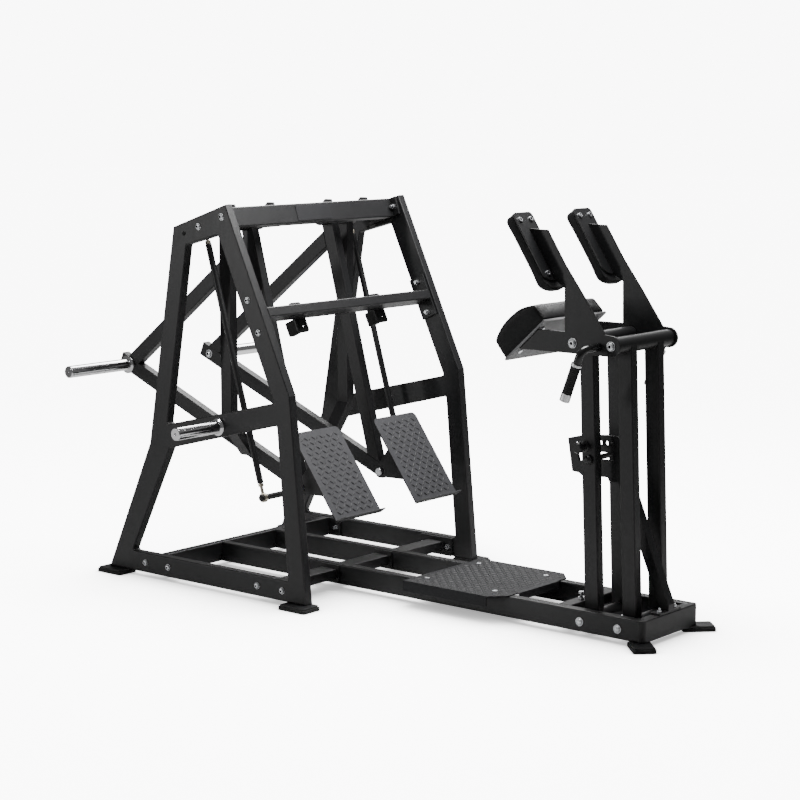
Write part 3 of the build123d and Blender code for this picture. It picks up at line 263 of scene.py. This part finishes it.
def board_mat():
    m = Mat("grey_textured_board")
    sp = m.noise(700.0, 3.0)
    br = m.noise(6.0, 3.0)
    col = m.ramp(br, [(0.3, (0.23, 0.23, 0.235)), (0.7, (0.29, 0.29, 0.295))])
    col = m.mix(m.math("MULTIPLY", m.ramp(sp, [(0.5, 0.0), (0.72, 1.0)]), 0.35), col, (0.14, 0.14, 0.14))
    return m.done(m.bump(sp, 0.00035, 0.8, after=m.rounded(0.0012)), col, m.math("ADD", m.math("MULTIPLY", sp, 0.2), 0.5))


BOARD = board_mat()


def tread_mat(name, base, hi, rim=False, gloss=0.5):
    """Grip plate: textured coat, rubbed paler here and there; bare black on the rim where asked."""
    m = Mat(name)
    fine = m.noise(1100.0, 3.0)
    broad = m.noise(5.0, 4.0)
    rub = m.noise(38.0, 5.0, 0.65)
    col = m.ramp(broad, [(0.3, tuple(c * 0.85 for c in base)), (0.7, tuple(c * 1.12 for c in base))])
    col = m.mix(m.math("MULTIPLY", m.ramp(rub, [(0.5, 0.0), (0.75, 1.0)]), 0.45), col, hi)
    if rim:
        dot = m.t.nodes.new("ShaderNodeVectorMath")
        dot.operation = "DOT_PRODUCT"
        geo = m.t.nodes.new("ShaderNodeNewGeometry")
        m.link(geo.outputs["Normal"], dot.inputs[0])
        dot.inputs[1].default_value = TREAD_UP
        col = m.mix(m.ramp(dot.outputs["Value"], [(0.90, 1.0), (0.95, 0.0)]), col, (0.007, 0.007, 0.0075))
    n = m.bump(fine, 0.0003, 0.8, after=m.rounded(0.0012))
    return m.done(n, col, m.math("ADD", m.math("MULTIPLY", rub, 0.18), 0.42), Specular_IOR_Level=gloss)


_f = (0.230, -0.319)
TREAD_UP = (-_f[1] / math.hypot(*_f), 0.0, _f[0] / math.hypot(*_f))
TREAD = tread_mat("grip_plate_grey", (0.040, 0.040, 0.044), (0.054, 0.054, 0.059), True)
# painted shade: the raised grip bars on both the foot treads and the standing plate are coloured far darker than
# their plates to stand in for the shadows round each bar
SHADED_TREAD_BAR = tread_mat("grip_bars_grey_painted_shade", (0.008, 0.008, 0.009), (0.017, 0.017, 0.019))
TREAD_DARK = tread_mat("grip_plate_dark", (0.013, 0.013, 0.0145), (0.024, 0.024, 0.026), gloss=0.2)
SHADED_TREAD_DARK_BAR = tread_mat("grip_bars_dark_painted_shade", (0.0045, 0.0045, 0.005), (0.012, 0.012, 0.013))

LOOK = {"black_paint": BLACK, "handle_paint": HANDLE, "chrome_sleeve": CHROME, "zinc_hardware": ZINC,
        "brushed_aluminium": ALU, "badge_blank": BADGE, "black_rubber": RUBBER, "black_vinyl": VINYL,
        "grey_board": BOARD, "black_bolt": OXIDE, "tread_grey": TREAD, "tread_dark": TREAD_DARK}


def ribbed_rubber():
    """Handle sleeve with moulded rings round the grip's own axis."""
    m = Mat("ribbed_grip_rubber")
    dot = m.t.nodes.new("ShaderNodeVectorMath")
    dot.operation = "DOT_PRODUCT"
    m.link(m.co, dot.inputs[0])
    dot.inputs[1].default_value = (0.3522, 0.0, 0.9359)
    wave = m.math("SINE", m.math("MULTIPLY", dot.outputs["Value"], 2 * math.pi / 0.0075), 0.0)
    grain = m.noise(1100.0, 3.0)
    dust = m.noise(30.0, 4.0)
    tone = m.ramp(dust, [(0.35, 0.006), (0.75, 0.014)])
    n = m.bump(wave, 0.0007, 0.8)
    n = m.bump(grain, 0.0002, 0.7, after=n)
    return m.done(n, tone, m.math("ADD", m.math("MULTIPLY", dust, 0.2), 0.62))


PASSIVATED = metal("yellow_passivated_steel", (0.80, 0.74, 0.62), 0.24, "Z", 0.12, 0.0008, 0.3)
OWN_LOOK = {"left_rod_ends": PASSIVATED, "right_rod_ends": PASSIVATED, "handle_grips": ribbed_rubber()}
for part in frame["record"]["subparts"]:
    o = NODES[part["node"]]
    o.data.materials.clear()
    o.data.materials.append(OWN_LOOK.get(part["node"]) or LOOK[part["material_slot"]])


# ---------------------------------------------------------------- mesh helpers
def mesh_object(name, verts, faces, material, smooth=True):
    me = bpy.data.meshes.new(name)
    me.from_pydata([tuple(v) for v in verts], [], faces)
    me.validate()
    o = bpy.data.objects.new(name, me)
    COLL.objects.link(o)
    me.materials.append(material)
    if smooth:
        me.polygons.foreach_set("use_smooth", [True] * len(me.polygons))
    return o


def apply_modifiers(o):
    dg = bpy.context.evaluated_depsgraph_get()
    me = bpy.data.meshes.new_from_object(o.evaluated_get(dg))
    old = o.data
    o.modifiers.clear()
    o.data = me
    bpy.data.meshes.remove(old)


def tube(name, pts, radius, material, closed=False, sides=8):
    """Tube mesh along points, with parallel-transported rings."""
    pts = [Vector(p) for p in pts]
    n = len(pts)
    verts, faces = [], []
    ref = None
    for i, p in enumerate(pts):
        a = pts[(i - 1) % n] if closed or i else pts[0]
        b = pts[(i + 1) % n] if closed or i < n - 1 else pts[-1]
        d = (b - a).normalized()
        if ref is None:
            ref = d.orthogonal().normalized()
        ref = (ref - d * ref.dot(d)).normalized()
        w = d.cross(ref)
        for k in range(sides):
            t = 2 * math.pi * k / sides
            verts.append(p + (ref * math.cos(t) + w * math.sin(t)) * radius)
    rings = n if closed else n - 1
    for i in range(rings):
        for k in range(sides):
            k2 = (k + 1) % sides
            j = (i + 1) % n
            faces.append((i * sides + k, i * sides + k2, j * sides + k2, j * sides + k))
    if not closed:
        faces.append(tuple(reversed(range(sides))))
        faces.append(tuple(range((n - 1) * sides, n * sides)))
    return mesh_object(name, verts, faces, material)


def remesh(o, voxel):
    m = o.modifiers.new("re", "REMESH")
    m.mode = "VOXEL"
    m.voxel_size = voxel
    apply_modifiers(o)


def puff(o, pinned, pressure=4.0, cap=0.006, frames=20):
    """Inflates o as cloth with no gravity and keeps the result on the mesh."""
    rest = [v.co.copy() for v in o.data.vertices]
    vg = o.vertex_groups.new(name="pin")
    vg.add([v.index for v in o.data.vertices if pinned(v.co)], 1.0, "REPLACE")
    md = o.modifiers.new("cloth", "CLOTH")
    s = md.settings
    s.quality = 6
    s.mass = 0.3
    s.air_damping = 2.0
    s.tension_stiffness = 25.0
    s.compression_stiffness = 25.0
    s.shear_stiffness = 12.0
    s.bending_stiffness = 1.5
    s.use_pressure = True
    s.uniform_pressure_force = pressure
    s.vertex_group_mass = "pin"
    s.effector_weights.gravity = 0.0
    md.point_cache.frame_start = 1
    md.point_cache.frame_end = frames
    for f in range(1, frames + 1):
        SCENE.frame_set(f)
    dg = bpy.context.evaluated_depsgraph_get()
    ev = o.evaluated_get(dg)
    co = [v.co.copy() for v in ev.data.vertices]
    o.modifiers.remove(md)
    SCENE.frame_set(1)
    for v, a, b in zip(o.data.vertices, rest, co):
        d = b - a
        if d.length > cap:
            d = d.normalized() * cap
        v.co = a + d
    o.vertex_groups.clear()


def soften(o, levels=1, smooth=4):
    if smooth:
        sm = o.modifiers.new("sm", "SMOOTH")
        sm.iterations = smooth
        sm.factor = 0.5
    if levels:
        sd = o.modifiers.new("sd", "SUBSURF")
        sd.levels = levels
        sd.render_levels = levels
    apply_modifiers(o)
    o.data.polygons.foreach_set("use_smooth", [True] * len(o.data.polygons))


def snapped(o, pts, out=0.0):
    """Points moved to the nearest place on o's surface, then out along its normal."""
    bm = bmesh.new()
    bm.from_mesh(o.data)
    tree = BVHTree.FromBMesh(bm)
    res = []
    for p in pts:
        hit, nrm, _, _ = tree.find_nearest(Vector(p))
        res.append(hit + nrm * out)
    bm.free()
    return res


def resample(pts, step, closed=True):
    pts = [Vector(p) for p in pts]
    if closed:
        pts = pts + [pts[0]]
    out, carry = [], 0.0
    for a, b in zip(pts, pts[1:]):
        L = (b - a).length
        t = carry
        while t < L:
            out.append(a + (b - a) * (t / L))
            t += step
        carry = t - L
    return out


# ---------------------------------------------------------------- pads
X0 = -0.0185
PAD_LOW = (0.676 + X0, 0.986)
PAD_TILT = math.atan2(161, 179)
PAD_LEN = 0.241
PAD_HALF = 0.196
SH_DIR = math.radians(-57)
SH_TOP = (0.748 + X0 - 0.018 * math.cos(SH_DIR), 1.508 - 0.018 * math.sin(SH_DIR))
SH_LEN = 0.318
SH_THICK = 0.048
SH_Y = 0.187
SH_HALF = 0.059


def in_side(origin, angle, u, v, y):
    c, s = math.cos(angle), math.sin(angle)
    return Vector((origin[0] + u * c - v * s, y, origin[1] + u * s + v * c))


def arc3(a, b, c, n):
    """Points on the circle through a, b, c from a to c."""
    ax, ay = a; bx, by = b; cx, cy = c
    d = 2 * (ax * (by - cy) + bx * (cy - ay) + cx * (ay - by))
    ux = ((ax * ax + ay * ay) * (by - cy) + (bx * bx + by * by) * (cy - ay) + (cx * cx + cy * cy) * (ay - by)) / d
    uy = ((ax * ax + ay * ay) * (cx - bx) + (bx * bx + by * by) * (ax - cx) + (cx * cx + cy * cy) * (bx - ax)) / d
    r = math.hypot(ax - ux, ay - uy)
    t0, t1 = math.atan2(ay - uy, ax - ux), math.atan2(cy - uy, cx - ux)
    while t1 < t0:
        t1 += 2 * math.pi
    return [(ux + r * math.cos(t0 + (t1 - t0) * i / n), uy + r * math.sin(t0 + (t1 - t0) * i / n)) for i in range(n + 1)]


def prism(name, profile, frame_of, y0, y1, material):
    """Closed prism from a (u, v) profile between two y planes."""
    n = len(profile)
    verts = [frame_of(u, v, y0) for u, v in profile] + [frame_of(u, v, y1) for u, v in profile]
    faces = [tuple(range(n)), tuple(reversed(range(n, 2 * n)))]
    for i in range(n):
        j = (i + 1) % n
        faces.append((j, i, n + i, n + j))
    o = mesh_object(name, verts, faces, material)
    bm = bmesh.new()
    bm.from_mesh(o.data)
    bmesh.ops.recalc_face_normals(bm, faces=bm.faces)
    bm.to_mesh(o.data)
    bm.free()
    return o


def bevel_edges(o, pick, width, segments):
    bm = bmesh.new()
    bm.from_mesh(o.data)
    edges = [e for e in bm.edges if pick(e)]
    bmesh.ops.bevel(bm, geom=edges, offset=width, segments=segments, profile=0.5, affect="EDGES")
    bm.to_mesh(o.data)
    bm.free()


def chest():
    inset = 0.004
    top = arc3((PAD_LEN - 0.002 - inset, 0.070 - inset), (PAD_LEN / 2, 0.112 - inset), (0.002 + inset, 0.082 - inset), 18)
    prof = [(inset, 0.0006), (PAD_LEN - inset, 0.0006)] + top
    at = lambda u, v, y: in_side(PAD_LOW, PAD_TILT, u, v, y)
    o = prism("chest_cushion", prof, at, -PAD_HALF + inset, PAD_HALF - inset, VINYL)
    half = PAD_HALF - inset
    bevel_edges(o, lambda e: abs(abs(e.verts[0].co.y) - half) < 1e-5 and abs(abs(e.verts[1].co.y) - half) < 1e-5
                and e.verts[0].co.y * e.verts[1].co.y > 0, 0.007, 3)
    remesh(o, 0.006)
    c, s = math.cos(PAD_TILT), math.sin(PAD_TILT)
    depth = lambda p: -(p.x - PAD_LOW[0]) * s + (p.z - PAD_LOW[1]) * c
    puff(o, lambda p: depth(p) < 0.004, 4.0, 0.0045)
    for v in o.data.vertices:
        d = depth(v.co)
        if d < 0.0006:
            v.co += Vector((-s, 0, c)) * (0.0006 - d)
    soften(o, 1, 3)
    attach(o, "head")
    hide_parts("chest_pad")
    # welts where the end panels are sewn to the wrap, and a stitch line beside them
    for s_, tag in ((-1, "right"), (1, "left")):
        loop = [at(u, v, s_ * (PAD_HALF - 0.004)) for u, v in [(0.002, 0.004), (PAD_LEN - 0.002, 0.004)] + arc3((PAD_LEN - 0.003, 0.069), (PAD_LEN / 2, 0.111), (0.003, 0.081), 24)]
        path = snapped(o, resample(loop, 0.008), 0.0004)
        w = tube(f"chest_welt_{tag}", path, 0.0021, WELT, closed=True)
        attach(w, "head")
        loop2 = [at(u, v, s_ * (PAD_HALF - 0.014)) for u, v in [(PAD_LEN - 0.002, 0.006)] + arc3((PAD_LEN - 0.003, 0.069), (PAD_LEN / 2, 0.111), (0.003, 0.081), 24) + [(0.002, 0.006)]]
        stitches(f"chest_stitches_{tag}", snapped(o, resample(loop2, 0.0045, closed=False), 0.0002), "head")
    return o


def stitches(name, pts, body):
    """Thread dashes laid along pts: two points on, one off."""
    verts, faces = [], []
    for i in range(0, len(pts) - 2, 2):
        a, b = Vector(pts[i]), Vector(pts[i + 1])
        d = (b - a).normalized()
        q = d.orthogonal().normalized()
        w = d.cross(q)
        base = len(verts)
        for f, r in ((0.0, 0.0003), (0.25, 0.0006), (0.75, 0.0006), (1.0, 0.0003)):
            p = a + (b - a) * f
            for k in range(5):
                t = 2 * math.pi * k / 5
                verts.append(p + (q * math.cos(t) + w * math.sin(t)) * r)
        for i2 in range(3):
            for k in range(5):
                k2 = (k + 1) % 5
                faces.append((base + i2 * 5 + k, base + i2 * 5 + k2, base + i2 * 5 + 5 + k2, base + i2 * 5 + 5 + k))
        faces.append(tuple(base + k for k in reversed(range(5))))
        faces.append(tuple(base + 15 + k for k in range(5)))
    o = mesh_object(name, verts, faces, THREAD)
    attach(o, body)
    return o


def rounded_outline(length, half, r_top, r_low, n=7):
    """Plan outline (u, y) with its own corner radii at the top and low ends."""
    pts = []
    for cu, cy, r, a0 in ((r_top, half - r_top, r_top, 180), (r_top, -half + r_top, r_top, 270),
                          (length - r_low, -half + r_low, r_low, 0), (length - r_low, half - r_low, r_low, 90)):
        a0 = {180: 90, 270: 180, 0: 270, 90: 0}[a0]
        for i in range(n + 1):
            t = math.radians(a0 + 90 * i / n)
            pts.append((cu + r * math.cos(t), cy + r * math.sin(t)))
    return pts


def shoulder(tag, s_):
    inset = 0.003
    L, H, T = SH_LEN - 2 * inset, SH_HALF - inset, SH_THICK - inset
    outline = rounded_outline(L, H, 0.017, 0.036)
    at = lambda u, v, y: in_side(SH_TOP, SH_DIR, u, v, y)
    n = len(outline)
    verts, faces = [], []
    layers = [(-0.0006, 0.0), (-0.004, 0.0), (-T + 0.014, 0.0), (-T + 0.0052, 0.0036), (-T + 0.0012, 0.0085), (-T, 0.015)]
    cu = L / 2
    for v, shrink in layers:
        for u, y in outline:
            du = shrink if u > cu else -shrink
            dy = shrink if y > 0 else -shrink
            uu, yy = u - du, y - dy
            end = max(0.0, (uu - (L - 0.045)) / 0.045)
            vv = v * (1.0 - 0.42 * end * end) if v < -0.01 else v
            verts.append(at(inset + uu, vv, s_ * SH_Y + yy))
    for i in range(len(layers) - 1):
        for k in range(n):
            k2 = (k + 1) % n
            faces.append((i * n + k, i * n + k2, (i + 1) * n + k2, (i + 1) * n + k))
    faces.append(tuple(range(n)))
    faces.append(tuple(reversed(range((len(layers) - 1) * n, len(layers) * n))))
    o = mesh_object(f"shoulder_cushion_{tag}", verts, faces, VINYL)
    bm = bmesh.new()
    bm.from_mesh(o.data)
    bmesh.ops.recalc_face_normals(bm, faces=bm.faces)
    bm.to_mesh(o.data)
    bm.free()
    remesh(o, 0.0042)
    c, s = math.cos(SH_DIR), math.sin(SH_DIR)
    depth = lambda p: -(p.x - SH_TOP[0]) * s + (p.z - SH_TOP[1]) * c
    puff(o, lambda p: depth(p) > -0.004, 4.0, 0.0035)
    for v in o.data.vertices:
        d = depth(v.co)
        if d > -0.0006:
            v.co += Vector((-s, 0, c)) * (-0.0006 - d)
    soften(o, 1, 3)
    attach(o, "head")
    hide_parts("shoulder_pads")
    rim = [at(inset + u * 1.0, -0.0042, s_ * SH_Y + y) for u, y in outline]
    w = tube(f"shoulder_welt_{tag}", snapped(o, resample(rim, 0.006), 0.0003), 0.0018, WELT, closed=True)
    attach(w, "head")
    front = [at(inset + (u - (0.010 if u > cu else -0.010)), -T - 0.004, s_ * SH_Y + y - (0.010 if y > 0 else -0.010)) for u, y in outline]
    stitches(f"shoulder_stitches_{tag}", snapped(o, resample(front, 0.0045), 0.0002), "head")
    return o


CHEST = chest()
SHOULDERS = [shoulder("right", -1), shoulder("left", 1)]


# ---------------------------------------------------------------- grip patterns
def grip_bars(name, origin, eu, ev, nrm, spans, inside, pitch, length, width, height, material, body):
    """Raised lens-shaped bars, each at 45 degrees and turned a quarter from its neighbours."""
    verts, faces = [], []
    (u0, u1), (v0, v1) = spans
    nu, nv = int((u1 - u0) / pitch), int((v1 - v0) / pitch)
    ou, ov = (u0 + u1 - nu * pitch) / 2, (v0 + v1 - nv * pitch) / 2
    for i in range(nu + 1):
        for j in range(nv + 1):
            u, v = ou + i * pitch, ov + j * pitch
            a = math.radians(45 if (i + j) % 2 else -45)
            du, dv = math.cos(a), math.sin(a)
            if not all(inside(u + k * du * length * 0.5, v + k * dv * length * 0.5) for k in (-1, 0, 1)):
                continue
            base = len(verts)
            rings = ((-1.0, 0.0, 0.0), (-0.72, 0.55, 0.55), (-0.3, 0.94, 0.95), (0.3, 0.94, 0.95), (0.72, 0.55, 0.55), (1.0, 0.0, 0.0))
            for f, w, h in rings:
                c = origin + eu * (u + du * f * length / 2) + ev * (v + dv * f * length / 2)
                side = (eu * -dv + ev * du) * (w * width / 2)
                if w == 0.0:
                    verts.append(c)
                else:
                    verts += [c - side - nrm * 0.0003, c - side * 0.55 + nrm * (h * height * 0.8), c + nrm * (h * height),
                              c + side * 0.55 + nrm * (h * height * 0.8), c + side - nrm * 0.0003]
            b = base
            first = [b + 1 + k for k in range(5)]
            faces += [(b, first[k + 1], first[k]) for k in range(4)]
            for r in range(3):
                p, q = b + 1 + r * 5, b + 1 + (r + 1) * 5
                faces += [(p + k, p + k + 1, q + k + 1, q + k) for k in range(4)]
            last = [b + 16 + k for k in range(5)]
            faces += [(b + 21, last[k], last[k + 1]) for k in range(4)]
    o = mesh_object(name, verts, faces, material)
    bm = bmesh.new()
    bm.from_mesh(o.data)
    bmesh.ops.recalc_face_normals(bm, faces=bm.faces)
    up = sum((f.normal.dot(nrm) for f in bm.faces))
    if up < 0:
        bmesh.ops.reverse_faces(bm, faces=bm.faces)
    bm.to_mesh(o.data)
    bm.free()
    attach(o, body)
    return o


FOOT_TOP, FOOT_LOW = Vector((-0.214 + X0, 0, 0.641)), Vector((0.016 + X0, 0, 0.322))
foot_len = (FOOT_LOW - FOOT_TOP).length
foot_dir = (FOOT_LOW - FOOT_TOP).normalized()
foot_nrm = Vector((-foot_dir.z, 0, foot_dir.x)).normalized()
if foot_nrm.x < 0:
    foot_nrm = -foot_nrm
for tag, s_ in (("right", -1), ("left", 1)):
    mid = (FOOT_TOP + FOOT_LOW) / 2 + Vector((0, s_ * 0.241, 0))
    hl, hw = foot_len / 2 - 0.007, 0.133 - 0.005
    grip_bars(f"foot_grip_{tag}", mid, foot_dir, Vector((0, 1, 0)), foot_nrm, ((-hl, hl), (-hw, hw)),
              lambda u, v: abs(u) < hl and abs(v) < hw and not (u < -hl + 0.022 and abs(v) > hw - 0.022 and math.hypot(u + hl - 0.022, abs(v) - hw + 0.022) > 0.022),
              0.0218, 0.0255, 0.0066, 0.0026, SHADED_TREAD_BAR, f"{tag}_foot")

sp_mid = Vector((0.472 + X0, 0, 0.104))


def on_plate(u, v):
    x = u + 0.472
    if not 0.242 < x < 0.700 or abs(v) > 0.240:
        return False
    if x > 0.644 and abs(v) > 0.186 + (0.698 - x) / 0.054 * 0.056:
        return False
    if any(math.hypot(x - bx, abs(v) - 0.164) < 0.019 for bx in (0.292, 0.617)):
        return False
    return True


grip_bars("standing_grip", sp_mid, Vector((1, 0, 0)), Vector((0, 1, 0)), Vector((0, 0, 1)), ((-0.228, 0.226), (-0.238, 0.238)),
          on_plate, 0.0210, 0.0250, 0.0062, 0.0024, SHADED_TREAD_DARK_BAR, "frame")


# ---------------------------------------------------------------- small trim
def lathe(name, centre, axis, profile, material, sides=24):
    """Turned piece: profile is (distance along axis, radius) from back to front."""
    axis = Vector(axis).normalized()
    q = axis.orthogonal().normalized()
    w = axis.cross(q)
    verts, faces = [], []
    for h, r in profile:
        for k in range(sides):
            t = 2 * math.pi * k / sides
            verts.append(Vector(centre) + axis * h + (q * math.cos(t) + w * math.sin(t)) * r)
    for i in range(len(profile) - 1):
        for k in range(sides):
            k2 = (k + 1) % sides
            faces.append((i * sides + k, i * sides + k2, (i + 1) * sides + k2, (i + 1) * sides + k))
    faces.append(tuple(reversed(range(sides))))
    faces.append(tuple(range((len(profile) - 1) * sides, len(profile) * sides)))
    return mesh_object(name, verts, faces, material, smooth=False)


for tag, s_ in (("right", -1), ("left", 1)):
    plug = lathe(f"frame_plug_{tag}", (-0.628 + X0, s_ * 0.5371, 1.409), (0, s_, 0),
                 [(0.0, 0.0085), (0.0012, 0.0085), (0.0022, 0.0076), (0.0026, 0.006), (0.0014, 0.005), (0.0012, 0.002)], RUBBER)
    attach(plug, "frame")


# ---------------------------------------------------------------- stage, camera, lights
def floor():
    """Pale studio floor that renders white through its own glow; ambient occlusion near the object dims that glow as
    a painted soft shadow.
    """
    m = bpy.data.materials.new("studio_floor")
    m.use_nodes = True
    t = m.node_tree
    t.nodes.clear()
    out = t.nodes.new("ShaderNodeOutputMaterial")
    path = t.nodes.new("ShaderNodeLightPath")
    seen = t.nodes.new("ShaderNodeBsdfDiffuse")
    seen.inputs["Color"].default_value = (0.95, 0.95, 0.95, 1.0)
    glow = t.nodes.new("ShaderNodeEmission")
    # painted shadow: ambient occlusion within 0.7 m lowers the floor's glow under and around the object
    painted_shade_ao = t.nodes.new("ShaderNodeAmbientOcclusion")
    painted_shade_ao.samples = 12
    painted_shade_ao.inputs["Distance"].default_value = 0.7
    painted_shadow_falloff = t.nodes.new("ShaderNodeMath")
    painted_shadow_falloff.operation = "POWER"
    painted_shadow_falloff.inputs[1].default_value = 2.6
    span = t.nodes.new("ShaderNodeMapRange")
    span.inputs["To Min"].default_value = FLOOR_GLOW * 0.05
    span.inputs["To Max"].default_value = FLOOR_GLOW
    t.links.new(painted_shade_ao.outputs["AO"], painted_shadow_falloff.inputs[0])
    t.links.new(painted_shadow_falloff.outputs[0], span.inputs["Value"])
    t.links.new(span.outputs["Result"], glow.inputs["Strength"])
    both = t.nodes.new("ShaderNodeAddShader")
    dull = t.nodes.new("ShaderNodeBsdfDiffuse")
    dull.inputs["Color"].default_value = (0.55, 0.55, 0.55, 1.0)
    mix = t.nodes.new("ShaderNodeMixShader")
    t.links.new(seen.outputs[0], both.inputs[0])
    t.links.new(glow.outputs[0], both.inputs[1])
    t.links.new(path.outputs["Is Camera Ray"], mix.inputs[0])
    t.links.new(dull.outputs[0], mix.inputs[1])
    t.links.new(both.outputs[0], mix.inputs[2])
    t.links.new(mix.outputs[0], out.inputs["Surface"])
    v = [(-40, -40, -0.0005), (40, -40, -0.0005), (40, 40, -0.0005), (-40, 40, -0.0005)]
    o = mesh_object("studio_floor", v, [(0, 1, 2, 3)], m, smooth=False)


FLOOR_GLOW = 9.0
floor()

cam_data = bpy.data.cameras.new("camera")
cam = bpy.data.objects.new("camera", cam_data)
COLL.objects.link(cam)
az, pitch = math.radians(39.7), math.radians(8.3)
look = Vector((-math.sin(az) * math.cos(pitch), math.cos(az) * math.cos(pitch), -math.sin(pitch)))
cam.location = (5.1126, -6.1564, 1.9209)
cam.rotation_euler = look.to_track_quat("-Z", "Y").to_euler()
cam_data.lens = 92.32
cam_data.sensor_width = 36.0
cam_data.clip_end = 200.0
SCENE.camera = cam


def area(name, where, at, size, power, color=(1, 1, 1)):
    d = bpy.data.lights.new(name, "AREA")
    d.shape = "RECTANGLE"
    d.size, d.size_y = size
    d.energy = power
    d.color = color
    o = bpy.data.objects.new(name, d)
    COLL.objects.link(o)
    o.location = where
    o.rotation_euler = (Vector(at) - Vector(where)).to_track_quat("-Z", "Y").to_euler()
    return o


area("overhead_softbox", (0.35, 0.4, 3.3), (-0.5, 0.0, 0.9), (2.0, 1.8), 225.0)
area("rear_softbox", (-1.6, 2.6, 3.4), (-0.2, 0.0, 0.6), (2.6, 1.6), 130.0)
area("front_strip", (-3.4, -4.6, 1.5), (-0.2, 0.0, 0.7), (0.45, 1.6), 50.0)

world = bpy.data.worlds.new("studio")
world.use_nodes = True
wt = world.node_tree
bg = wt.nodes["Background"]
bg.inputs["Color"].default_value = (1.0, 1.0, 1.0, 1.0)
bg.inputs["Strength"].default_value = 0.13
white = wt.nodes.new("ShaderNodeBackground")
white.inputs["Color"].default_value = (1.0, 1.0, 1.0, 1.0)
white.inputs["Strength"].default_value = 9.0
pick = wt.nodes.new("ShaderNodeMixShader")
lp = wt.nodes.new("ShaderNodeLightPath")
wt.links.new(lp.outputs["Is Camera Ray"], pick.inputs[0])
wt.links.new(bg.outputs[0], pick.inputs[1])
wt.links.new(white.outputs[0], pick.inputs[2])
wt.links.new(pick.outputs[0], wt.nodes["World Output"].inputs["Surface"])
SCENE.world = world
